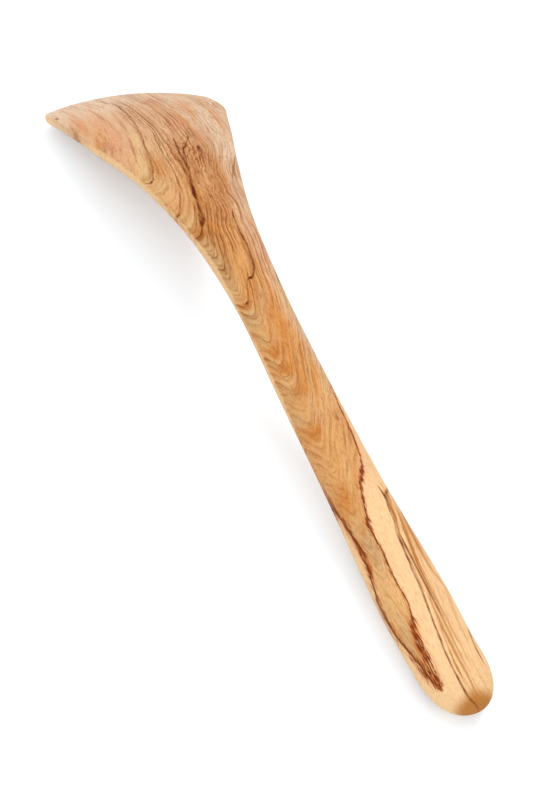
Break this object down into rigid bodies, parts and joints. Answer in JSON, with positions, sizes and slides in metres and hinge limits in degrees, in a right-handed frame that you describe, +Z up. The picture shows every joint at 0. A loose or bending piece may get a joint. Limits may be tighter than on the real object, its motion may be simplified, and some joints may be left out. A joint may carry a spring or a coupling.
{
  "type": "wooden turner",
  "caption": "One-piece carved olive-wood kitchen turner with a flared, arched blade, an oblique bowed front edge and a slim handle that swells to a rounded butt.",
  "frame": {"origin": "bottom centre of the bounding box, on the table that the turner lies on with the rounded back of its blade up", "axes": "+Y from the butt of the handle to the front edge of the blade, +X to the turner's right, +Z up, away from the table"},
  "size_m": [0.0628, 0.3022, 0.0341],
  "materials": {
    "olive_wood": "satin, oiled"
  },
  "bodies": {
    "root": {"carved_turner": "olive_wood"}
  },
  "joints": []
}
